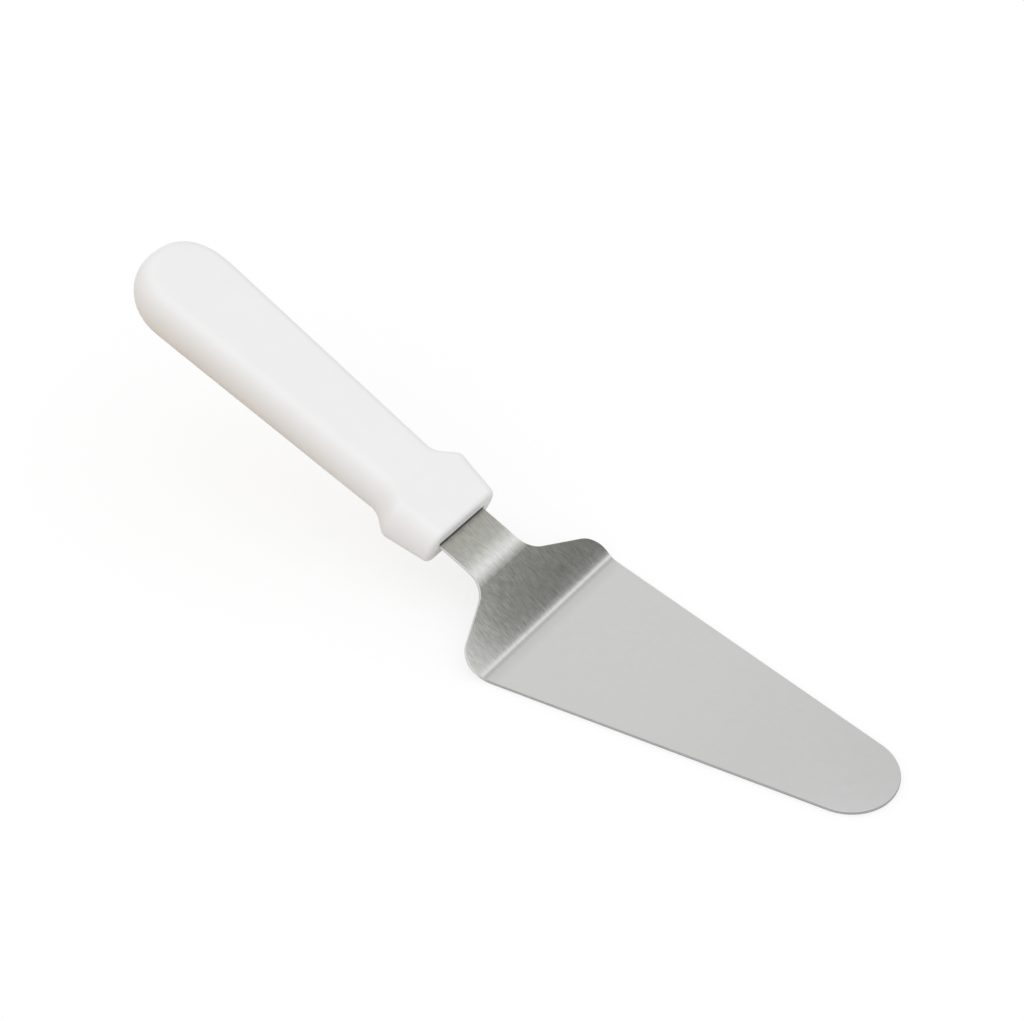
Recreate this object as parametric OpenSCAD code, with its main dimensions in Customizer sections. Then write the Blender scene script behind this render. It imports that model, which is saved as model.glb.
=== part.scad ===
// Cake server: a pressed steel blade whose tang is held in a moulded handle.
// Millimetres, +Z up. The plate lies flat with its underside at Z = 0.
// The origin is the middle of that underside, the tip points to +X.

/* [Plate] */
// Width of the plate across the heel, where the step begins
heel_w = 60; // [48:1:72]
// Length of the plate from the heel to the tip
plate_len = 109.2; // [90:0.1:150]
// Radius of the round tip, which the two straight edges run into
tip_r = 13.9; // [8:0.1:18]
// Thickness of the steel sheet
sheet_t = 1.0; // [0.6:0.1:1.5]

/* [Step] */
// Length of the raised step along the sheet, from the heel to the neck
step_len = 22.7; // [20:0.1:30]
// Angle at which the step rises from the plate
step_angle = 33.7; // [26:0.1:42]
// Radius inside the bend at the heel
heel_bend_r = 5; // [1:0.5:9]
// Radius inside the soft bend at the neck
neck_bend_r = 40; // [10:1:50]
// Radius of the two outer shoulders
shoulder_r = 7.5; // [6:0.1:11]
// Angle at which the shoulders fall away from the neck
shoulder_angle = 26; // [18:1:32]
// Radius of the hollow corners between the shoulders and the neck
throat_r = 8.3; // [5:0.1:10]

/* [Neck and tang] */
// Width of the neck
neck_w = 19.7; // [15:0.1:23]
// Length of the neck that shows between the step and the handle
neck_len = 12.3; // [8:0.1:20]
// Angle at which the neck and the handle rise from the plate
handle_angle = 20.8; // [12:0.1:25]
// Length of the tang inside the handle
tang_len = 76; // [60:1:90]
// Width of the tang behind its shoulders
tang_w = 14; // [10:0.5:15]
// How far the full width of the neck runs into the handle
tang_shoulder = 7; // [5:0.5:12]
// Radius of the two keying holes in the tang
key_r = 3; // [2:0.25:4]
// Distance of the first keying hole from the front of the handle
key_first = 26; // [20:1:30]
// Distance of the second keying hole from the end of the tang
key_last = 18; // [14:1:20]

/* [Handle] */
// Length of the handle
handle_len = 119.2; // [105:0.1:140]
// How far the middle of the handle lies below the middle of the tang
handle_drop = 0.7; // [0:0.1:1.5]
// Width of the front face
front_w = 29; // [27:0.1:33]
// Height of the front face
front_h = 13.6; // [11:0.1:15]
// Radius round the rim of the front face
front_r = 1.3; // [0.5:0.1:2]
// Distance of the guard's widest line from the front face
guard_at = 14.6; // [11:0.1:16]
// Width of the guard at its widest line
guard_w = 33.6; // [31:0.1:38]
// Height of the guard at its widest line
guard_h = 16; // [14:0.1:18]
// How far the middle of the guard lies above the middle of the grip
guard_lift = 0.7; // [0:0.1:1.5]
// Distance of the waist behind the guard from the front face
waist_at = 20.6; // [19:0.1:25]
// Width of the waist
waist_w = 23.8; // [22:0.1:28]
// Height of the waist
waist_h = 14.6; // [12:0.1:16]
// Length of the round butt
butt_len = 17; // [14:0.1:22]
// Width of the handle where the round butt begins
butt_w = 30.8; // [28:0.1:35]
// Height of the handle where the round butt begins
butt_h = 15.6; // [13:0.1:18]
// Fullness of the butt seen from above: 2 is an ellipse, more is squarer
butt_full = 2.3; // [1.8:0.1:3]
// Depth of the rounding over the end of the butt
end_r = 5.2; // [4:0.1:9]
// How far the end of the butt lies above the line of the grip
butt_lift = 1.2; // [0:0.1:2]
// Width of the rounding on each side of the handle
side_r = 4.7; // [4:0.1:7]
// Half of the length over which the guard's widest line is rounded off
guard_blend = 0.8; // [0.4:0.1:2]
// Half of the length over which the waist is rounded off
waist_blend = 1.6; // [0.5:0.1:2.5]

/* [Slot] */
// Clearance round the tang, on every side
tang_fit = 0.05; // [0.02:0.01:0.15]
// Height of the open mouth of the slot above the tang
mouth_gap = 1.3; // [0.5:0.1:2.5]
// Depth of the open mouth
mouth_depth = 5; // [3:0.5:6]
// Room at each end of the mouth, beside the tang
mouth_side = 0.3; // [0.2:0.1:1]

/* [Hidden] */

// One overrun for every cut
over = 1;
// Points on each arc of the blank's outline, and the shortest edge next to the heel
arc_steps = 24;
min_edge = 0.3;
// Points on each quarter of a section of the handle
side_steps = 8;
// Rings on the rim of the front face, between the rim and the waist, along the grip and on the butt
rim_steps = 4;
guard_steps = 24;
grip_steps = 10;
butt_steps = 12;
// Smoothness of the round cuts
$fn = 96;

// Place of the heel and of the tip's centre along X
heel_x = -plate_len / 2;
tip_centre = plate_len - tip_r;

// Angle of the plate's straight edges to the middle line: each is tangent to the tip circle
edge_angle = acos(tip_r / norm([heel_w / 2, tip_centre])) - atan2(tip_centre, heel_w / 2);
edge_slope = tan(edge_angle);

// Where the two shoulder lines would meet on the middle line, measured back from the heel
shoulder_peak = step_len;
// Centre of the shoulder's arc as [distance back from the heel, distance from the middle line].
// It lies shoulder_r inside both the plate's edge line and the shoulder line.
shoulder_side = (heel_w / 2 + edge_slope * (shoulder_peak - shoulder_r / cos(shoulder_angle))
    - shoulder_r / cos(edge_angle)) / (1 + edge_slope * tan(shoulder_angle));
shoulder_back = shoulder_peak - shoulder_r / cos(shoulder_angle) - shoulder_side * tan(shoulder_angle);
// Centre of the throat's arc, throat_r outside both the shoulder line and the neck's edge
throat_side = neck_w / 2 + throat_r;
throat_back = shoulder_peak + throat_r / cos(shoulder_angle) - throat_side * tan(shoulder_angle);

// Lengths from each bend's corner to where its arc begins, along the underside
heel_tangent = (heel_bend_r + sheet_t) * tan(step_angle / 2);
neck_turn = step_angle - handle_angle;
neck_tangent = neck_bend_r * tan(neck_turn / 2);
// Corner of the neck bend on the underside
neck_x = heel_x - step_len * cos(step_angle);
neck_z = step_len * sin(step_angle);
// Longest stretch that any cut has to cross
reach = plate_len + step_len + neck_len + handle_len;

// Places a child drawn along X at the neck bend, so that +X runs up the neck and +Z out of its top
module on_neck() {
    translate([neck_x, 0, neck_z]) rotate([0, handle_angle, 0]) mirror([1, 0, 0]) children();
}

// Places a child at the middle of the handle's front face, +X to the butt
module on_handle() {
    on_neck() translate([neck_len, 0, sheet_t / 2 - handle_drop]) children();
}

// Outline of the blank behind the heel, on one side, as [distance back, distance from the middle line]
function shoulder_arc() = [for (i = [0:arc_steps])
    let (a = -edge_angle + (90 - shoulder_angle + edge_angle) * i / arc_steps)
    [shoulder_back + shoulder_r * sin(a), shoulder_side + shoulder_r * cos(a)]];
function throat_arc() = [for (i = [0:arc_steps])
    let (a = (90 - shoulder_angle) * (1 - i / arc_steps))
    [throat_back - throat_r * sin(a), throat_side - throat_r * cos(a)]];
function step_side() = concat([[0, heel_w / 2]], [for (p = shoulder_arc()) if (p[0] > min_edge) p], throat_arc());
// Outline of the tip on one side, from the middle line to the straight edge
function tip_side() = [for (i = [0:arc_steps])
    let (a = (90 - edge_angle) * i / arc_steps)
    [heel_x + tip_centre + tip_r * cos(a), tip_r * sin(a)]];

// The step seen from above: distances along it shrink by the cosine of its angle
function seen(back) = heel_x - back * cos(step_angle);

// Outline of the whole blade seen from above, without the tang's shape
module plan() {
    side = [for (p = step_side()) [seen(p[0]), p[1]]];
    half = concat(tip_side(), side, [[-reach, neck_w / 2]]);
    other = [for (i = [len(half) - 1:-1:1]) [half[i][0], -half[i][1]]];
    polygon(concat(half, other));
}

// A pie slice about the origin from angle a to angle b
module pie(r, a, b) {
    polygon([[0, 0], r * [cos(a), sin(a)], r * [cos(b), sin(b)]]);
}

// Everything below the surface that lies t above the sheet's underside, seen from the side,
// with X along the blade and Y up, out to the distance far
module below(t, far) {
    heel = [heel_x + t * tan(step_angle / 2), t];
    lean = (step_angle + handle_angle) / 2;
    neck = [neck_x, neck_z] + t / cos(neck_turn / 2) * [sin(lean), cos(lean)];
    back = neck + far * [-cos(handle_angle), sin(handle_angle)];
    heel_outer = heel_bend_r + sheet_t;
    difference() {
        union() {
            polygon([[far, t], heel, neck, back, [back[0], -far], [far, -far]]);
            // the hollow bend at the heel is filled
            translate([heel_x + heel_tangent, heel_outer]) difference() {
                pie(2 * heel_outer, 270 - step_angle, 270);
                circle(r = heel_outer - t);
            }
        }
        // the corner of the bend at the neck is rounded off
        translate([neck_x, neck_z]) rotate(-handle_angle) translate([-neck_tangent, -neck_bend_r]) difference() {
            pie(2 * (neck_bend_r + sheet_t), 90 - neck_turn, 90);
            circle(r = neck_bend_r + t);
        }
    }
}

// The sheet seen from the side: what lies between its two surfaces
module profile() {
    difference() {
        below(sheet_t, reach);
        below(0, 2 * reach);
    }
}

// Outline of the neck and the tang in the sheet's own plane, from the neck bend back, grown by fit
module tang_outline(fit = 0) {
    full = neck_len + tang_shoulder + fit;
    translate([-over, -neck_w / 2 - fit]) square([full + over, neck_w + 2 * fit]);
    round_at = neck_len + tang_len - tang_w / 2;
    translate([0, -tang_w / 2 - fit]) square([round_at, tang_w + 2 * fit]);
    translate([round_at, 0]) circle(r = tang_w / 2 + fit);
}

// The two keying holes of the tang, as round bars of radius r and height h about the sheet's middle
module keys(r, h) {
    for (at = [key_first, tang_len - key_last])
        translate([neck_len + at, 0, (sheet_t - h) / 2]) cylinder(r = r, h = h);
}

module blade() {
    color([0.78, 0.78, 0.76]) difference() {
        intersection() {
            rotate([90, 0, 0]) translate([0, 0, -heel_w]) linear_extrude(2 * heel_w) profile();
            translate([0, 0, -reach]) linear_extrude(2 * reach) plan();
        }
        // what lies beside the tang is cut off, from its shoulders back
        on_neck() translate([0, 0, -over]) linear_extrude(sheet_t + 2 * over) difference() {
            translate([neck_len, -heel_w]) square([reach, 2 * heel_w]);
            tang_outline();
        }
        on_neck() keys(key_r, sheet_t + 2 * over);
    }
}

// Sizes of the handle along its length, straight from line to line
width_line = [[0, front_w], [guard_at, guard_w], [waist_at, waist_w], [handle_len - butt_len, butt_w]];
height_line = [[0, front_h], [guard_at, guard_h], [waist_at, waist_h], [handle_len - butt_len, butt_h]];
lift_line = [[guard_at, guard_lift], [waist_at, 0]];
// Where a line breaks it is rounded off by the mean of three places, less at the guard than at the waist
function blend_at(s) = lookup(s, [[guard_at, guard_blend], [waist_at, waist_blend]]);
function soft(s, line) = (lookup(s - blend_at(s), line) + lookup(s, line) + lookup(s + blend_at(s), line)) / 3;

// One ring of the skin, flat on top and below, with oval sides. The ring's place and half its width are
// given at its widest height, then how far each is drawn in by the rounding at the top
function ring(s, half_w, h, lift, draw_s, draw_w) = [for (side = [1, -1], i = [0:2 * side_steps])
    let (a = side * 90 * (i / side_steps - 1), in = 1 - cos(a))
    [s - draw_s * in, side * (half_w - draw_w * in), lift + h / 2 * sin(a)]];

// Rings round the rim of the front face
rim_rings = [for (i = [0:rim_steps])
    let (a = 90 * i / rim_steps, s = front_r * (1 - cos(a)), d = front_r * (1 - sin(a)))
    ring(s, lookup(s, width_line) / 2 - d, lookup(s, height_line) - 2 * d, guard_lift, 0, side_r - d)];
// Rings over the guard to the waist
guard_from = 2 * front_r;
guard_to = waist_at + 2 * waist_blend;
guard_rings = [for (i = [0:guard_steps])
    let (s = guard_from + (guard_to - guard_from) * i / guard_steps)
    ring(s, soft(s, width_line) / 2, soft(s, height_line), soft(s, lift_line), 0, side_r)];
// Rings along the grip
grip_to = handle_len - butt_len;
grip_rings = [for (i = [1:grip_steps])
    let (s = guard_to + (grip_to - guard_to) * i / grip_steps)
    ring(s, lookup(s, width_line) / 2, lookup(s, height_line), 0, 0, side_r)];
// Rings round the butt: its outline and the rounding over its edge close in together. The last ring is a
// narrow strip down the end
end_share = 0.03;
butt_rings = [for (i = [1:butt_steps])
    let (a = 90 * (1 - end_share) * i / butt_steps, along = pow(sin(a), 2 / butt_full), across = pow(cos(a), 2 / butt_full))
    ring(grip_to + butt_len * along, butt_w / 2 * across, butt_h, butt_lift * along * along,
        end_r * along, side_r * across)];

// The skin of the handle, closed over its rings. The front is one face, the end a strip between its two sides
module skin(rings) {
    n = len(rings[0]);
    m = len(rings);
    points = [for (r = rings, p = r) p];
    walls = [for (j = [0:m - 2], i = [0:n - 1])
        let (a = j * n + i, b = j * n + (i + 1) % n)
        each [[a, b, b + n], [a, b + n, a + n]]];
    front = [for (i = [n - 1:-1:0]) i];
    end = (m - 1) * n;
    strip = [for (i = [0:n / 2 - 2]) [end + i, end + i + 1, end + n - 2 - i, end + n - 1 - i]];
    polyhedron(points, concat([front], walls, strip));
}

module handle() {
    color([0.93, 0.93, 0.93]) difference() {
        on_handle() skin(concat(rim_rings, guard_rings, grip_rings, butt_rings));
        // the closed slot round the tang, with the plastic left standing in the keying holes
        on_neck() difference() {
            translate([0, 0, -tang_fit]) linear_extrude(sheet_t + 2 * tang_fit) tang_outline(tang_fit);
            keys(key_r - tang_fit, sheet_t + 2 * over);
        }
        // the open mouth above the tang
        on_neck() translate([neck_len - over, -neck_w / 2 - mouth_side, sheet_t / 2])
            cube([mouth_depth + over, neck_w + 2 * mouth_side, sheet_t / 2 + mouth_gap]);
    }
}

blade();
handle();
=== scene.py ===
import math

import bmesh
import bpy
from mathutils import Euler, Matrix, Vector


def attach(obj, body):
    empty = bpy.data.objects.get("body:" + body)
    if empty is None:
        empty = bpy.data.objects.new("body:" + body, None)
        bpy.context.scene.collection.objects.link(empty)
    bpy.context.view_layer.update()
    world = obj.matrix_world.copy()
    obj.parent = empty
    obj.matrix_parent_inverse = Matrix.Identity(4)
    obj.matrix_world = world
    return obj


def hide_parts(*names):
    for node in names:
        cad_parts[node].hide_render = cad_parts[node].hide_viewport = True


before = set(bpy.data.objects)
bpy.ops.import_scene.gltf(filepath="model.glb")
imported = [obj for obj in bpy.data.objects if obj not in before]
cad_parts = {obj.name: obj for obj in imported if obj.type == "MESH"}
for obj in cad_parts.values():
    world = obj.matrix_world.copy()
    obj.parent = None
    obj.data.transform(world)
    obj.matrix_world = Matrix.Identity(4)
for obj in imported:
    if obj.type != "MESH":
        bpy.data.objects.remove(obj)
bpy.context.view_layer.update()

mm = 0.001


# ---------------------------------------------------------------- studio
# A pale seamless floor under a white sky. Two cards hang over the blade, as a photographer hangs them round
# bright metal, a curved one with graded tones and a small bright one: only gloss shows them, and they throw
# no shadow and no light.
bpy.ops.object.select_all(action="DESELECT")
bpy.ops.mesh.primitive_plane_add(size=12, location=(0, 0, -0.2 * mm))
floor = bpy.context.object
floor.name = "floor"
paper = bpy.data.materials.new("pale_floor")
paper.use_nodes = True
nodes, links = paper.node_tree.nodes, paper.node_tree.links
paper_shader = nodes["Principled BSDF"]
paper_shader.inputs["Roughness"].default_value = 0.9
paper_shader.inputs["Specular IOR Level"].default_value = 0.05
ray = nodes.new("ShaderNodeLightPath")
mirrored = nodes.new("ShaderNodeMath")
mirrored.operation = "MAXIMUM"
links.new(ray.outputs["Is Glossy Ray"], mirrored.inputs[0])
links.new(ray.outputs["Is Transmission Ray"], mirrored.inputs[1])
# to soft bounced light the table is a warm mid tone, deepest under the grip
table_at = nodes.new("ShaderNodeTexCoord")
table_parts = nodes.new("ShaderNodeSeparateXYZ")
links.new(table_at.outputs["Object"], table_parts.inputs[0])
under_grip = nodes.new("ShaderNodeMapRange")
under_grip.inputs["From Min"].default_value, under_grip.inputs["From Max"].default_value = -0.085, -0.145
links.new(table_parts.outputs["X"], under_grip.inputs["Value"])
bounced = nodes.new("ShaderNodeMix")
bounced.data_type = "RGBA"
bounced.inputs["A"].default_value = (0.66, 0.64, 0.62, 1)
bounced.inputs["B"].default_value = (0.33, 0.19, 0.05, 1)
links.new(under_grip.outputs[0], bounced.inputs["Factor"])
# straight to the camera three quarters of the paper's tone is its own light, and in gloss one part in eight:
# the rest is lit by the sky, so that it keeps the object's shadow
last_tone, own_light = bounced.outputs["Result"], None
for mask, paint, glow in ((ray.outputs["Is Camera Ray"], 0.26, 0.74), (mirrored.outputs[0], 0.87, 0.13)):
    tone = nodes.new("ShaderNodeMix")
    tone.data_type = "RGBA"
    tone.inputs["B"].default_value = (paint, paint, paint, 1)
    links.new(mask, tone.inputs["Factor"])
    light = nodes.new("ShaderNodeMath")
    light.operation = "MULTIPLY_ADD"
    light.inputs[1].default_value, light.inputs[2].default_value = glow, 0
    links.new(mask, light.inputs[0])
    links.new(last_tone, tone.inputs["A"])
    if own_light is not None:
        links.new(own_light, light.inputs[2])
    last_tone, own_light = tone.outputs["Result"], light.outputs[0]
links.new(last_tone, paper_shader.inputs["Base Color"])
links.new(own_light, paper_shader.inputs["Emission Strength"])
paper_shader.inputs["Emission Color"].default_value = (1, 1, 1, 1)
floor.data.materials.append(paper)

# the sky is white and even where it is seen; its light is a little stronger from the near side
sky = bpy.data.worlds.new("sky")
bpy.context.scene.world = sky
sky.use_nodes = True
nodes, links = sky.node_tree.nodes, sky.node_tree.links
sky_light = nodes["Background"]
sky_light.inputs["Color"].default_value = (1, 1, 1, 1)
look = nodes.new("ShaderNodeTexCoord")
facing = nodes.new("ShaderNodeVectorMath")
facing.operation = "DOT_PRODUCT"
facing.inputs[1].default_value = (0.3, -0.954, 0)
links.new(look.outputs["Generated"], facing.inputs[0])
stronger = nodes.new("ShaderNodeMath")
stronger.operation = "MULTIPLY_ADD"
stronger.inputs[1].default_value, stronger.inputs[2].default_value = 0.22, 1
links.new(facing.outputs["Value"], stronger.inputs[0])
sky_ray = nodes.new("ShaderNodeLightPath")
spread = nodes.new("ShaderNodeMix")
spread.data_type = "FLOAT"
spread.inputs["A"].default_value = 1
links.new(stronger.outputs[0], spread.inputs["B"])
links.new(sky_ray.outputs["Is Diffuse Ray"], spread.inputs["Factor"])
links.new(spread.outputs["Result"], sky_light.inputs["Strength"])

# the curved card is part of a tube that lies across the blade, with its axis just over the step;
# card_from and card_to are its two edges, in degrees from straight up
card_from, card_to = -32, 75
bpy.ops.object.select_all(action="DESELECT")
bpy.ops.mesh.primitive_cylinder_add(vertices=180, radius=0.5, depth=1.5, end_fill_type="NOTHING",
                                    location=(0, 0.45, 0), rotation=(math.pi / 2, 0, 0))
graded_card = bpy.context.object
graded_card.name = "graded_card"
bpy.ops.object.transform_apply(location=True, rotation=True, scale=True)
bpy.ops.object.mode_set(mode="EDIT")
bpy.ops.mesh.select_mode(type="FACE")
bpy.ops.mesh.select_all(action="DESELECT")
mesh = bmesh.from_edit_mesh(graded_card.data)
for face in mesh.faces:
    middle_of = face.calc_center_median()
    if not card_from < math.degrees(math.atan2(middle_of.x, middle_of.z)) < card_to:
        face.select_set(True)
bmesh.update_edit_mesh(graded_card.data)
bpy.ops.mesh.delete(type="FACE")
bpy.ops.object.mode_set(mode="OBJECT")
graded_card.location = (-0.062, 0, 0.005)
graded_card.visible_camera = graded_card.visible_diffuse = graded_card.visible_shadow = False
graded_card.visible_transmission = False

# its tones run round the tube, by the angle from straight up
grading = bpy.data.materials.new("graded_card")
grading.use_nodes = True
nodes, links = grading.node_tree.nodes, grading.node_tree.links
nodes.clear()
here = nodes.new("ShaderNodeTexCoord")
split = nodes.new("ShaderNodeSeparateXYZ")
links.new(here.outputs["Object"], split.inputs[0])
round_it = nodes.new("ShaderNodeMath")
round_it.operation = "ARCTAN2"
links.new(split.outputs["X"], round_it.inputs[0])
links.new(split.outputs["Z"], round_it.inputs[1])
across_it = nodes.new("ShaderNodeMapRange")
across_it.inputs["From Min"].default_value = math.radians(card_from)
across_it.inputs["From Max"].default_value = math.radians(card_to)
links.new(round_it.outputs[0], across_it.inputs["Value"])
ramp = nodes.new("ShaderNodeValToRGB")
ramp.color_ramp.interpolation = "EASE"
# each tone is its angle, its brightness and how blue it is
tones = [(card_from, 1.0, 1), (-20, 0.98, 1), (-14, 0.92, 1), (-8, 0.88, 1), (-2, 0.81, 1), (3, 0.76, 0.98),
         (7, 0.82, 0.98), (12, 0.97, 1), (17, 1.18, 1.04), (21.5, 1.7, 1.04), (25, 1.16, 1.02), (29, 0.62, 0.98),
         (33, 0.27, 0.95), (36, 0.18, 0.95), (card_to, 0.18, 0.95)]
brightest = 2
points = ramp.color_ramp.elements
points.remove(points[1])
points[0].position = 0
for angle, bright, blue in tones:
    point = points.new((angle - card_from) / (card_to - card_from)) if angle > card_from else points[0]
    point.color = (bright / brightest, bright / brightest, bright / brightest * blue, 1)
links.new(across_it.outputs[0], ramp.inputs[0])
card_light = nodes.new("ShaderNodeEmission")
card_light.inputs["Strength"].default_value = brightest
links.new(ramp.outputs["Color"], card_light.inputs["Color"])
card_end = nodes.new("ShaderNodeOutputMaterial")
links.new(card_light.outputs[0], card_end.inputs["Surface"])
graded_card.data.materials.append(grading)

# a small bright card close over the step lightens its near side
aim, out = Vector((-0.065, 0, 0.008)), Vector((0.457, 0.6, 0.656)).normalized()
across = Vector((out.z, 0, -out.x)).normalized()
away_from_us = out.cross(across)
bpy.ops.object.select_all(action="DESELECT")
bpy.ops.mesh.primitive_plane_add(size=1)
small_card = bpy.context.object
small_card.name = "small_card"
turned = Matrix((across, away_from_us, across.cross(away_from_us))).transposed().to_4x4()
small_card.matrix_world = (Matrix.Translation(aim + 0.14 * out + 0.03 * across - 0.128 * away_from_us) @ turned
                           @ Matrix.Diagonal((0.12, 0.2, 1, 1)))
small_card.visible_camera = small_card.visible_diffuse = small_card.visible_shadow = False
small_card.visible_transmission = False
bright = bpy.data.materials.new("bright_card")
bright.use_nodes = True
nodes, links = bright.node_tree.nodes, bright.node_tree.links
nodes.clear()
card_light = nodes.new("ShaderNodeEmission")
card_light.inputs["Strength"].default_value = 1.4
card_light.inputs["Color"].default_value = (0.97, 0.97, 1, 1)
card_end = nodes.new("ShaderNodeOutputMaterial")
links.new(card_light.outputs[0], card_end.inputs["Surface"])
small_card.data.materials.append(bright)

# the camera looks from the photograph's angle, with its long lens
turn, height, roll = math.radians(36.672), math.radians(41.595), math.radians(0.303)
camera_data = bpy.data.cameras.new("camera")
camera = bpy.data.objects.new("camera", camera_data)
bpy.context.collection.objects.link(camera)
look_at, away = Vector((-0.07948, 0.01635, 0.015)), 0.6808
back = Vector((math.sin(turn) * math.cos(height), -math.cos(turn) * math.cos(height), math.sin(height)))
camera.matrix_world = (
    Matrix.Translation(look_at + away * back)
    @ Euler((math.pi / 2 - height, 0, turn)).to_matrix().to_4x4()
    @ Matrix.Rotation(roll, 4, "Z")
)
camera_data.sensor_fit = "HORIZONTAL"
camera_data.sensor_width = 36
camera_data.lens = 3571.67 * away * camera_data.sensor_width / 1024
camera_data.clip_start = 0.01
bpy.context.scene.camera = camera
bpy.context.scene.view_settings.view_transform = "Standard"


# ---------------------------------------------------------------- blade
# One piece of stainless sheet, 1 mm thick: cut out flat as one blank with its tang, its rim tumbled round,
# then pressed at the heel, where the step rises, and bent softly where the step meets the neck.
heel_w, plate_len, tip_r, sheet_t = 60 * mm, 109.2 * mm, 13.9 * mm, 1 * mm
step_len, step_angle = 22.7 * mm, math.radians(33.7)
neck_bend_r, handle_angle = 40 * mm, math.radians(20.8)
shoulder_r, shoulder_angle, throat_r = 7.5 * mm, math.radians(26), 8.3 * mm
neck_w, neck_len = 19.7 * mm, 12.3 * mm
tang_len, tang_w, tang_shoulder = 76 * mm, 14 * mm, 7 * mm
heel_x = -plate_len / 2
middle = sheet_t / 2

# the blank's corners before they are rounded, as distances back from the heel and from the middle line
tip_centre = plate_len - tip_r
edge_angle = math.acos(tip_r / math.hypot(heel_w / 2, tip_centre)) - math.atan2(tip_centre, heel_w / 2)
slope = math.tan(edge_angle)
tip_turn = math.pi / 2 - edge_angle
tip_half = tip_r * math.tan(tip_turn / 2)
shoulder_half = (heel_w / 2 + slope * step_len) / (1 + slope * math.tan(shoulder_angle))
shoulder_back = step_len - shoulder_half * math.tan(shoulder_angle)
throat_back = step_len - neck_w / 2 * math.tan(shoulder_angle)
# those corners are on the underside, and the bends bring the middle of the sheet a little nearer the tip
heel_shift = middle * math.tan(step_angle / 2)
neck_shift = 2 * heel_shift - middle * math.tan((step_angle - handle_angle) / 2)
neck_back = step_len - neck_shift
neck_end = neck_back + neck_len + tang_shoulder
tang_end = neck_back + neck_len + tang_len


def pick(kind, test):
    """Selects, in edit mode, the verts, edges or faces whose middle passes the test, and nothing else."""
    bpy.ops.mesh.select_mode(type=kind.upper())
    bpy.ops.mesh.select_all(action="DESELECT")
    mesh = bmesh.from_edit_mesh(bpy.context.edit_object.data)
    parts = {"vert": mesh.verts, "edge": mesh.edges, "face": mesh.faces}[kind]
    for part in parts:
        if kind == "vert":
            place = part.co
        else:
            place = sum((v.co for v in part.verts), Vector()) / len(part.verts)
        if test(place, part):
            part.select_set(True)
    mesh.select_flush_mode()
    bmesh.update_edit_mesh(bpy.context.edit_object.data)


def round_corners(at_x, half, radius, turning, steps=20):
    """Rounds the two corners of the flat blank at (at_x, +-half), where its outline turns by turning."""
    short = (1 / math.cos(turning / 2) - 1) / (2 * math.tan(turning / 2) * math.sin(turning / 2))
    pick("vert", lambda p, v: abs(p.x - at_x) < 1e-6 and abs(abs(p.y) - half) < 1e-6)
    bpy.ops.mesh.bevel(offset_type="OFFSET", offset=radius * math.tan(turning / 2), segments=steps,
                       profile=(1 - short) ** 2, affect="VERTICES", clamp_overlap=False)


def draw_back(from_x, to_x, half):
    """Draws the blank's back edge out to to_x and sets half its width there."""
    pick("edge", lambda p, e: abs(p.x - from_x) < 1e-6)
    now = max(abs(v.co.y) for v in bmesh.from_edit_mesh(bpy.context.edit_object.data).verts if v.select)
    bpy.ops.mesh.extrude_region_move(TRANSFORM_OT_translate={"value": (to_x - from_x, 0, 0)})
    bpy.ops.transform.resize(value=(1, half / now, 1), center_override=(to_x, 0, 0))


bpy.ops.object.select_all(action="DESELECT")
shoulder_x = heel_x - shoulder_back
plate_span = plate_len + shoulder_back
bpy.ops.mesh.primitive_plane_add(size=1, location=(heel_x + plate_len - plate_span / 2, 0, middle))
blade = bpy.context.object
blade.name = "blade_sheet"
blade.scale = (plate_span, 2 * shoulder_half, 1)
bpy.ops.object.transform_apply(location=True, rotation=True, scale=True)
bpy.ops.object.mode_set(mode="EDIT")
tip_x = heel_x + plate_len
pick("vert", lambda p, v: p.x > 0)
bpy.ops.transform.resize(value=(1, tip_half / shoulder_half, 1), center_override=(tip_x, 0, 0))
draw_back(shoulder_x, heel_x - throat_back, neck_w / 2)
draw_back(heel_x - throat_back, heel_x - neck_end, neck_w / 2)
draw_back(heel_x - neck_end, heel_x - neck_end - 0.5 * mm, tang_w / 2)
draw_back(heel_x - neck_end - 0.5 * mm, heel_x - tang_end, tang_w / 2)
bpy.ops.mesh.select_all(action="SELECT")
bpy.ops.mesh.dissolve_faces()
round_corners(tip_x, tip_half, tip_r, tip_turn, 32)
round_corners(shoulder_x, shoulder_half, shoulder_r, math.pi / 2 - shoulder_angle + edge_angle)
round_corners(heel_x - throat_back, neck_w / 2, throat_r, math.pi / 2 - shoulder_angle)
round_corners(heel_x - tang_end, tang_w / 2, tang_w / 2 - 0.1 * mm, math.pi / 2)
bpy.ops.mesh.select_all(action="SELECT")
bpy.ops.mesh.remove_doubles(threshold=1e-6)


def press_bend(corner_x, folds):
    """Bends the flat blank up behind corner_x by small folds, each (mm back from the corner, degrees)."""
    for back, turn in folds:
        bpy.ops.mesh.select_all(action="SELECT")
        bpy.ops.mesh.bisect(plane_co=(corner_x - back * mm, 0, 0), plane_no=(1, 0, 0))
    for back, turn in sorted(folds, reverse=True):
        crease = corner_x - back * mm
        pick("vert", lambda p, v: p.x < crease + 1e-7)
        bpy.ops.transform.rotate(value=-math.radians(turn), orient_axis="Y", center_override=(crease, 0, middle))


bpy.ops.object.mode_set(mode="OBJECT")
# the flat blank keeps its own map, across and along the rolled grain, so that the grain follows the bends
flat_map = blade.data.uv_layers.new(name="flat_blank")
for loop in blade.data.loops:
    place = blade.data.vertices[loop.vertex_index].co
    flat_map.data[loop.index].uv = (place.y, place.x)
bpy.ops.object.mode_set(mode="EDIT")
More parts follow.
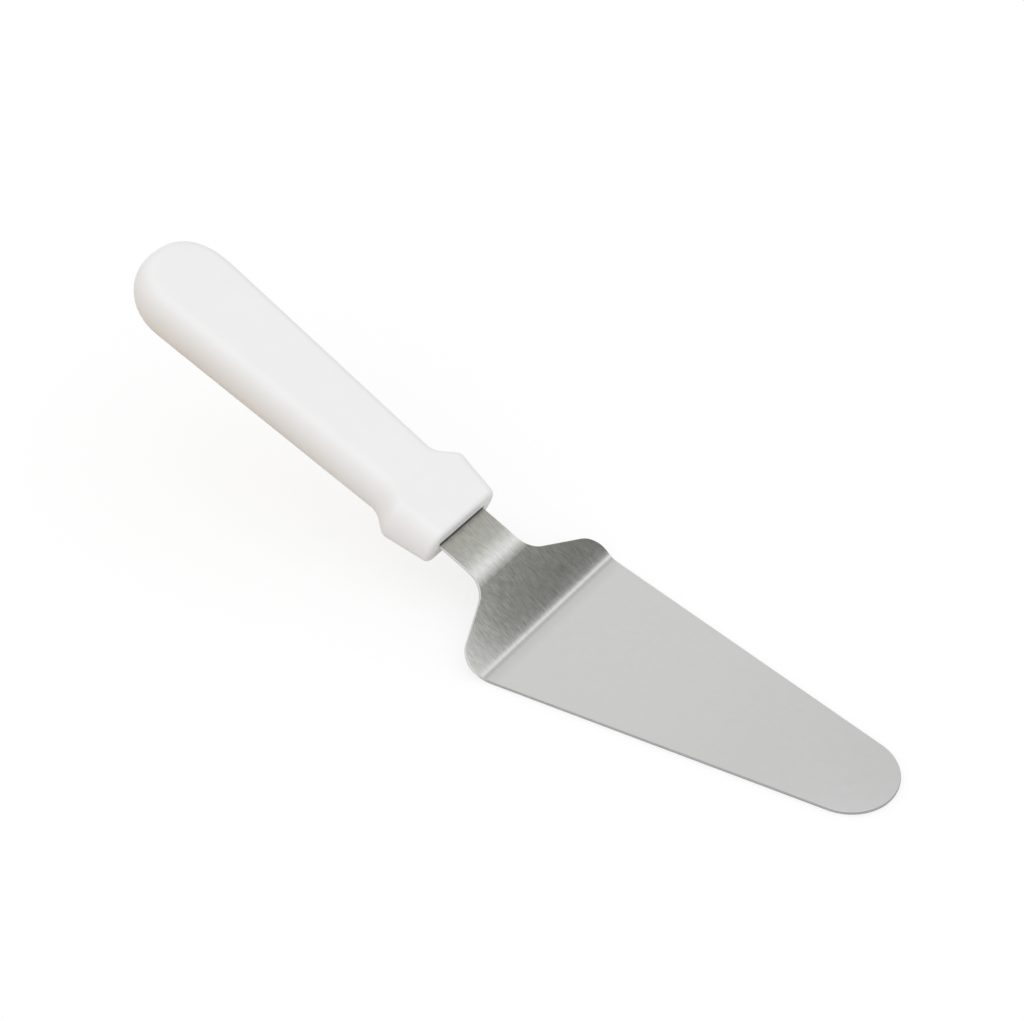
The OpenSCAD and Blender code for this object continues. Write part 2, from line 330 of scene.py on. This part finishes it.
# the neck bends down evenly, and the heel bends up tightly in its middle and softly on both sides of it
neck_folds = 16
neck_arc = (neck_bend_r + middle) * (step_angle - handle_angle) / mm
neck_turn = math.degrees(handle_angle - step_angle) / neck_folds
press_bend(heel_x - neck_back, [(neck_arc * ((i + 0.5) / neck_folds - 0.5), neck_turn) for i in range(neck_folds)])
press_bend(heel_x + heel_shift, [(-3.66, 0.7), (-2.86, 0.8), (-2.16, 1.2), (-1.66, 1.6), (-1.26, 2.6), (-0.96, 3.3),
                                 (-0.66, 3.6), (-0.36, 3.4), (-0.06, 3.1), (0.24, 2.8), (0.54, 2.3), (0.84, 1.9),
                                 (1.24, 1.6), (1.64, 1.3), (2.14, 1), (2.74, 0.8), (3.54, 0.6), (4.54, 0.5),
                                 (5.74, 0.3), (7.24, 0.3)])
bpy.ops.object.mode_set(mode="OBJECT")

# two materials, made up further down: the sheet's faces, and its cut rim
steel, cut_rim = bpy.data.materials.new("brushed_stainless"), bpy.data.materials.new("cut_rim")
blade.data.materials.append(steel)
blade.data.materials.append(cut_rim)
thickness = blade.modifiers.new("thickness", "SOLIDIFY")
thickness.thickness, thickness.offset, thickness.use_even_offset = sheet_t, 0, True
thickness.material_offset_rim = 1
bpy.ops.object.modifier_apply(modifier="thickness")
bpy.ops.object.mode_set(mode="EDIT")
bpy.ops.mesh.select_mode(type="EDGE")
bpy.ops.mesh.select_all(action="DESELECT")
bpy.ops.mesh.edges_select_sharp(sharpness=math.radians(60))
bpy.ops.mesh.bevel(offset=0.2 * mm, segments=3, profile=0.5, affect="EDGES", clamp_overlap=True)
bpy.ops.object.mode_set(mode="OBJECT")
bpy.ops.object.shade_smooth_by_angle(angle=math.radians(35))
# the wide flats keep their own direction right up to the bends and the rim
flat_normals = blade.modifiers.new("flat_normals", "WEIGHTED_NORMAL")
flat_normals.mode, flat_normals.keep_sharp, flat_normals.weight = "FACE_AREA", True, 50
bpy.ops.object.modifier_apply(modifier="flat_normals")

# one mask for both materials: 0 on the plate and 1 behind the heel, where the sheet has its brushing, its colour is
# partly painted shade and its rim has a painted highlight
behind_heel = bpy.data.node_groups.new("behind_heel", "ShaderNodeTree")
behind_heel.interface.new_socket("Mask", in_out="OUTPUT", socket_type="NodeSocketFloat")
nodes, links = behind_heel.nodes, behind_heel.links
place = nodes.new("ShaderNodeTexCoord")
place_parts = nodes.new("ShaderNodeSeparateXYZ")
links.new(place.outputs["Object"], place_parts.inputs[0])
heel_edge = nodes.new("ShaderNodeMapRange")
heel_edge.interpolation_type = "SMOOTHSTEP"
heel_edge.inputs["From Min"].default_value = heel_x + 2 * mm
heel_edge.inputs["From Max"].default_value = heel_x - 2 * mm
links.new(place_parts.outputs["X"], heel_edge.inputs["Value"])
mask = nodes.new("NodeGroupOutput")
links.new(heel_edge.outputs[0], mask.inputs["Mask"])

steel.use_nodes = True
nodes, links = steel.node_tree.nodes, steel.node_tree.links
steel_shader = nodes["Principled BSDF"]
steel_shader.inputs["Metallic"].default_value = 1
steel_shader.inputs["Anisotropic"].default_value = 0.3
grain_way = nodes.new("ShaderNodeTangent")
grain_way.direction_type, grain_way.uv_map = "UV_MAP", "flat_blank"
links.new(grain_way.outputs[0], steel_shader.inputs["Tangent"])

# grain: short fine streaks along the blade, and broader smears of them
blank = nodes.new("ShaderNodeUVMap")
blank.uv_map = "flat_blank"


def grain(name, across, length, detail):
    """Streaks across mm wide and length mm long, as grey values about one half."""
    stretch = nodes.new("ShaderNodeMapping")
    stretch.inputs["Scale"].default_value = (1 / (across * mm), 1 / (length * mm), 1)
    links.new(blank.outputs[0], stretch.inputs["Vector"])
    streaks = nodes.new("ShaderNodeTexNoise")
    streaks.name = name
    streaks.inputs["Scale"].default_value = 1
    streaks.inputs["Detail"].default_value = detail
    streaks.inputs["Roughness"].default_value = 0.65
    links.new(stretch.outputs[0], streaks.inputs["Vector"])
    return streaks.outputs["Fac"]


def shared(kind, first, second, clamp=False):
    """One Math node on two values, each a number or another node's output."""
    node = nodes.new("ShaderNodeMath")
    node.operation, node.use_clamp = kind, clamp
    for socket, value in zip(node.inputs, (first, second)):
        if isinstance(value, (int, float)):
            socket.default_value = value
        else:
            links.new(value, socket)
    return node.outputs[0]


streaks = grain("streaks", 0.75, 3, 2)
smears = grain("smears", 1.8, 6, 2)
mixed_grain = shared("ADD", shared("MULTIPLY", streaks, 0.7), shared("MULTIPLY", smears, 0.3))

# the plate is satin and smooth; behind the heel the sheet has its brushing, and its colour is a little darker and
# browner, partly for the brushing and partly as painted shade
place = nodes.new("ShaderNodeTexCoord")
place_parts = nodes.new("ShaderNodeSeparateXYZ")
links.new(place.outputs["Object"], place_parts.inputs[0])
behind_heel_mask = nodes.new("ShaderNodeGroup")
behind_heel_mask.node_tree = behind_heel
depth = nodes.new("ShaderNodeMapRange")
depth.inputs["To Min"].default_value, depth.inputs["To Max"].default_value = 0.08, 0.65
links.new(behind_heel_mask.outputs[0], depth.inputs["Value"])
tint = nodes.new("ShaderNodeMix")
tint.data_type = "RGBA"
tint.inputs["A"].default_value = (0.595, 0.595, 0.59, 1)
tint.inputs["B"].default_value = (0.53, 0.53, 0.502, 1)
links.new(behind_heel_mask.outputs[0], tint.inputs["Factor"])
# painted shade: the colour is a little darker again along the neck up to the handle, where the handle shades it
neck_shade_mask = nodes.new("ShaderNodeMapRange")
neck_shade_mask.interpolation_type = "SMOOTHSTEP"
neck_shade_mask.inputs["From Min"].default_value = heel_x - 19 * mm
neck_shade_mask.inputs["From Max"].default_value = heel_x - 29 * mm
links.new(place_parts.outputs["X"], neck_shade_mask.inputs["Value"])
neck_painted_shade = nodes.new("ShaderNodeMix")
neck_painted_shade.data_type = "RGBA"
links.new(tint.outputs["Result"], neck_painted_shade.inputs["A"])
neck_painted_shade.inputs["B"].default_value = (0.43, 0.432, 0.394, 1)
links.new(neck_shade_mask.outputs[0], neck_painted_shade.inputs["Factor"])
off_mean = shared("SUBTRACT", mixed_grain, 0.5)
lighter = shared("ADD", shared("MULTIPLY", off_mean, depth.outputs[0]), 1)
# painted shade: the colour is a little darker in a band along the heel crease
crease = shared("SUBTRACT", place_parts.outputs["X"], heel_x + 1.2 * mm)
crease = shared("DIVIDE", crease, 4.5 * mm)
crease = shared("SUBTRACT", 1, shared("MULTIPLY", crease, crease), clamp=True)
crease = shared("MULTIPLY", crease, crease)
lighter = shared("MULTIPLY", lighter, shared("SUBTRACT", 1, shared("MULTIPLY", crease, 0.08)))
coloured = nodes.new("ShaderNodeVectorMath")
coloured.operation = "SCALE"
links.new(neck_painted_shade.outputs["Result"], coloured.inputs[0])
links.new(lighter, coloured.inputs["Scale"])
links.new(coloured.outputs[0], steel_shader.inputs["Base Color"])
links.new(shared("ADD", shared("MULTIPLY", off_mean, 0.1), 0.21), steel_shader.inputs["Roughness"])
ridges = nodes.new("ShaderNodeBump")
ridges.inputs["Distance"].default_value = 0.01 * mm
links.new(depth.outputs[0], ridges.inputs["Strength"])
links.new(streaks, ridges.inputs["Height"])
links.new(ridges.outputs[0], steel_shader.inputs["Normal"])

# round the plate the rim's colour is darker with fine marks, partly for the duller cut edge and partly as painted
# shade where it lies in its own shadow on the floor; behind the heel its colour is lighter, a painted highlight
cut_rim.use_nodes = True
nodes, links = cut_rim.node_tree.nodes, cut_rim.node_tree.links
rim_shader = nodes["Principled BSDF"]
rim_shader.inputs["Metallic"].default_value = 1
rim_shader.inputs["Roughness"].default_value = 0.36
rim_at = nodes.new("ShaderNodeTexCoord")
cut_marks = nodes.new("ShaderNodeTexNoise")
cut_marks.inputs["Scale"].default_value = 1 / (0.8 * mm)
cut_marks.inputs["Detail"].default_value = 3
links.new(rim_at.outputs["Object"], cut_marks.inputs["Vector"])
rim_marks_and_shade = nodes.new("ShaderNodeMix")
rim_marks_and_shade.data_type = "RGBA"
rim_marks_and_shade.inputs["A"].default_value = (0.36, 0.36, 0.355, 1)
rim_marks_and_shade.inputs["B"].default_value = (0.48, 0.48, 0.475, 1)
links.new(cut_marks.outputs["Fac"], rim_marks_and_shade.inputs["Factor"])
behind_heel_mask = nodes.new("ShaderNodeGroup")
behind_heel_mask.node_tree = behind_heel
rim_painted_highlight = nodes.new("ShaderNodeMix")
rim_painted_highlight.data_type = "RGBA"
rim_painted_highlight.inputs["B"].default_value = (0.66, 0.66, 0.655, 1)
links.new(rim_marks_and_shade.outputs["Result"], rim_painted_highlight.inputs["A"])
links.new(behind_heel_mask.outputs[0], rim_painted_highlight.inputs["Factor"])
links.new(rim_painted_highlight.outputs["Result"], rim_shader.inputs["Base Color"])
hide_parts("blade")
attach(blade, "root")


# ---------------------------------------------------------------- handle
# One solid moulding of white plastic: a flared guard in front, a waist behind it, a grip that widens to the
# back and a full round butt. The tang sits in a slot that opens at the front with a dark gap above the steel.
handle_len, handle_drop = 119.2 * mm, 0.7 * mm
front_w, front_h, front_r = 29 * mm, 13.6 * mm, 1.3 * mm
guard_at, guard_w, guard_h, guard_lift = 14.6 * mm, 33.6 * mm, 16 * mm, 0.7 * mm
waist_at, waist_w, waist_h = 20.6 * mm, 23.8 * mm, 14.6 * mm
butt_len, butt_w, butt_h, butt_full, butt_lift = 17 * mm, 30.8 * mm, 15.6 * mm, 2.3, 1.2 * mm
side_r, guard_blend, waist_blend = 4.7 * mm, 0.8 * mm, 1.6 * mm
tang_fit, mouth_gap, mouth_depth, mouth_side = 0.05 * mm, 1.3 * mm, 5 * mm, 0.3 * mm
grip_end = handle_len - butt_len


def along(s, line):
    """Value at distance s from the front of a line of (distance, value) corners."""
    for (a, u), (b, v) in zip(line, line[1:]):
        if s <= b:
            return u + (v - u) * max(0, s - a) / (b - a)
    return line[-1][1]


def softened(s, line):
    """The same with its corners rounded off, less at the guard than at the waist."""
    blend = along(s, [(guard_at, guard_blend), (waist_at, waist_blend)])
    return (along(s - blend, line) + along(s, line) + along(s + blend, line)) / 3


widths = [(0, front_w), (guard_at, guard_w), (waist_at, waist_w), (grip_end, butt_w)]
heights = [(0, front_h), (guard_at, guard_h), (waist_at, waist_h), (grip_end, butt_h)]
lifts = [(0, guard_lift), (guard_at, guard_lift), (waist_at, 0), (grip_end, 0)]

# half of the front's outline: a half circle made oval, and a flat from each of its ends to the middle line
bpy.ops.object.select_all(action="DESELECT")
bpy.ops.mesh.primitive_circle_add(vertices=40, radius=1, rotation=(0, math.pi / 2, 0))
handle = bpy.context.object
handle.name = "handle_moulding"
bpy.ops.object.transform_apply(location=True, rotation=True, scale=True)
bpy.ops.object.mode_set(mode="EDIT")
pick("vert", lambda p, v: p.y < -0.01)
bpy.ops.mesh.delete(type="VERT")
bpy.ops.mesh.select_all(action="SELECT")
bpy.ops.transform.resize(value=(1, side_r, front_h / 2), center_override=(0, 0, 0))
bpy.ops.transform.translate(value=(0, front_w / 2 - side_r, guard_lift))
flat = front_w / 2 - side_r
for inward in (1 * mm, flat - 1 * mm):
    edge_y = flat if inward == 1 * mm else flat - 1 * mm
    pick("vert", lambda p, v: abs(p.y - edge_y) < 1e-6)
    bpy.ops.mesh.extrude_region_move(TRANSFORM_OT_translate={"value": (0, -inward, 0)})

# the skin is drawn back from station to station, each with its own width, height and lift
stations = [2.6, 5.5, 8.5, 11, 12.6, 13.4, 14, 14.4, 14.8, 15.2, 15.8, 16.6, 17.4, 18, 18.6, 19.2, 19.8, 20.4,
            21, 21.6, 22.4, 23.4, 25, 32, 46, 60, 74, 88]
stations = [s * mm for s in stations] + [grip_end]
before = (0, front_w, front_h, guard_lift)
for s in stations:
    now = (s, softened(s, widths), softened(s, heights), softened(s, lifts))
    pick("edge", lambda p, e: abs(p.x + before[0]) < 1e-6)
    bpy.ops.mesh.extrude_region_move(TRANSFORM_OT_translate={"value": (before[0] - s, 0, now[3] - before[3])})
    bpy.ops.transform.resize(value=(1, 1, now[2] / before[2]), center_override=(-s, 0, now[3]))
    pick("vert", lambda p, v: abs(p.x + s) < 1e-6 and p.y > 1e-6)
    bpy.ops.transform.translate(value=(0, (now[1] - before[1]) / 2, 0))
    before = now

# the butt: the last section is spun round through a quarter turn, then made fuller, longer and lifted at its end
butt_steps = 16
pick("edge", lambda p, e: abs(p.x + grip_end) < 1e-6)
bpy.ops.mesh.spin(steps=butt_steps, angle=-math.pi / 2, center=(-grip_end, 0, 0), axis=(0, 0, 1))
for i in range(1, butt_steps + 1):
    a = math.pi / 2 * i / butt_steps
    fan = Vector((-math.sin(a), math.cos(a), 0))

    def on_fan(p, v):
        out = Vector((p.x + grip_end, p.y, 0))
        return out.length > 1e-6 and (out.normalized() - fan).length < 1e-4

    pick("vert", on_fan)
    back_share, side_share = math.sin(a) ** (2 / butt_full), max(math.cos(a), 0) ** (2 / butt_full)
    longer = butt_len / (butt_w / 2) * back_share / math.sin(a)
    wider = side_share / math.cos(a) if i < butt_steps else 1
    bpy.ops.transform.resize(value=(longer, wider, 1), center_override=(-grip_end, 0, 0))
    bpy.ops.transform.translate(value=(0, 0, butt_lift * back_share ** 2))
bpy.ops.mesh.select_all(action="SELECT")
bpy.ops.mesh.remove_doubles(threshold=1e-6)
bpy.ops.object.mode_set(mode="OBJECT")

mirror = handle.modifiers.new("other_half", "MIRROR")
mirror.use_axis = (False, True, False)
mirror.merge_threshold = 1e-5
bpy.ops.object.modifier_apply(modifier="other_half")

# the front is closed with one face and its rim rounded
bpy.ops.object.mode_set(mode="EDIT")
pick("edge", lambda p, e: abs(p.x) < 1e-7)
bpy.ops.mesh.edge_face_add()
bpy.ops.mesh.select_all(action="SELECT")
bpy.ops.mesh.normals_make_consistent(inside=False)
pick("edge", lambda p, e: abs(p.x) < 1e-7 and e.is_manifold and e.calc_face_angle() > 1)
bpy.ops.mesh.bevel(offset=front_r, segments=5, profile=0.5, affect="EDGES", clamp_overlap=True)
bpy.ops.object.mode_set(mode="OBJECT")

# the slot: a flat cutter a little larger than the tang, and the open mouth above the steel
before_front = 1 * mm


def cut_from_handle(name, depth_in, width, low, high):
    """Takes a flat box out of the handle, depth_in from its front and from low to high in its height."""
    bpy.ops.object.select_all(action="DESELECT")
    bpy.ops.mesh.primitive_cube_add(size=1, location=((before_front - depth_in) / 2, 0, (low + high) / 2))
    cutter = bpy.context.object
    cutter.scale = (before_front + depth_in, width, high - low)
    bpy.ops.object.transform_apply(location=True, rotation=True, scale=True)
    bpy.context.view_layer.objects.active = handle
    cut = handle.modifiers.new(name, "BOOLEAN")
    cut.object, cut.operation, cut.solver = cutter, "DIFFERENCE", "EXACT"
    bpy.ops.object.modifier_apply(modifier=name)
    bpy.data.objects.remove(cutter)


slot_low, slot_high = handle_drop - middle - tang_fit, handle_drop + middle + tang_fit
cut_from_handle("tang_slot", tang_len + tang_fit, tang_w + 2 * tang_fit, slot_low, slot_high)
cut_from_handle("shoulder_slot", tang_shoulder + 0.5 * mm, neck_w + 2 * tang_fit, slot_low, slot_high)
cut_from_handle("mouth", mouth_depth, neck_w + 2 * mouth_side, handle_drop, handle_drop + middle + mouth_gap)

# set at its angle on the neck
neck_corner = Vector((heel_x - step_len * math.cos(step_angle), 0, step_len * math.sin(step_angle)))
bpy.ops.object.select_all(action="DESELECT")
handle.select_set(True)
bpy.context.view_layer.objects.active = handle
tilt = Matrix.Rotation(handle_angle, 4, "Y")
handle.matrix_world = Matrix.Translation(neck_corner) @ tilt @ Matrix.Translation((-neck_len, 0, middle - handle_drop))
bpy.ops.object.transform_apply(location=True, rotation=True, scale=True)
bpy.ops.object.shade_smooth_by_angle(angle=math.radians(40))

plastic = bpy.data.materials.new("white_plastic")
plastic.use_nodes = True
nodes, links = plastic.node_tree.nodes, plastic.node_tree.links
plastic_shader = nodes["Principled BSDF"]
plastic_shader.inputs["IOR"].default_value = 1.49
place = nodes.new("ShaderNodeTexCoord")


def specks(size, detail):
    """Round specks about size mm across, as grey values about one half."""
    noise = nodes.new("ShaderNodeTexNoise")
    noise.inputs["Scale"].default_value = 1 / (size * mm)
    noise.inputs["Detail"].default_value = detail
    links.new(place.outputs["Object"], noise.inputs["Vector"])
    return noise.outputs["Fac"]


# the mould's fine spark-eroded skin, and faint clouds in the gloss and the white where hands have worn it
skin, clouds = specks(0.5, 3), specks(9, 2)
gloss = nodes.new("ShaderNodeMapRange")
gloss.inputs["From Min"].default_value, gloss.inputs["From Max"].default_value = 0.3, 0.7
gloss.inputs["To Min"].default_value, gloss.inputs["To Max"].default_value = 0.38, 0.5
links.new(clouds, gloss.inputs["Value"])
links.new(gloss.outputs[0], plastic_shader.inputs["Roughness"])
white = nodes.new("ShaderNodeMix")
white.data_type = "RGBA"
white.inputs["A"].default_value = (0.825, 0.825, 0.825, 1)
white.inputs["B"].default_value = (0.845, 0.845, 0.85, 1)
links.new(clouds, white.inputs["Factor"])
links.new(white.outputs["Result"], plastic_shader.inputs["Base Color"])
fine = nodes.new("ShaderNodeBump")
fine.inputs["Strength"].default_value = 0.5
fine.inputs["Distance"].default_value = 0.015 * mm
links.new(skin, fine.inputs["Height"])
links.new(fine.outputs[0], plastic_shader.inputs["Normal"])
handle.data.materials.append(plastic)
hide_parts("handle")
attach(handle, "root")
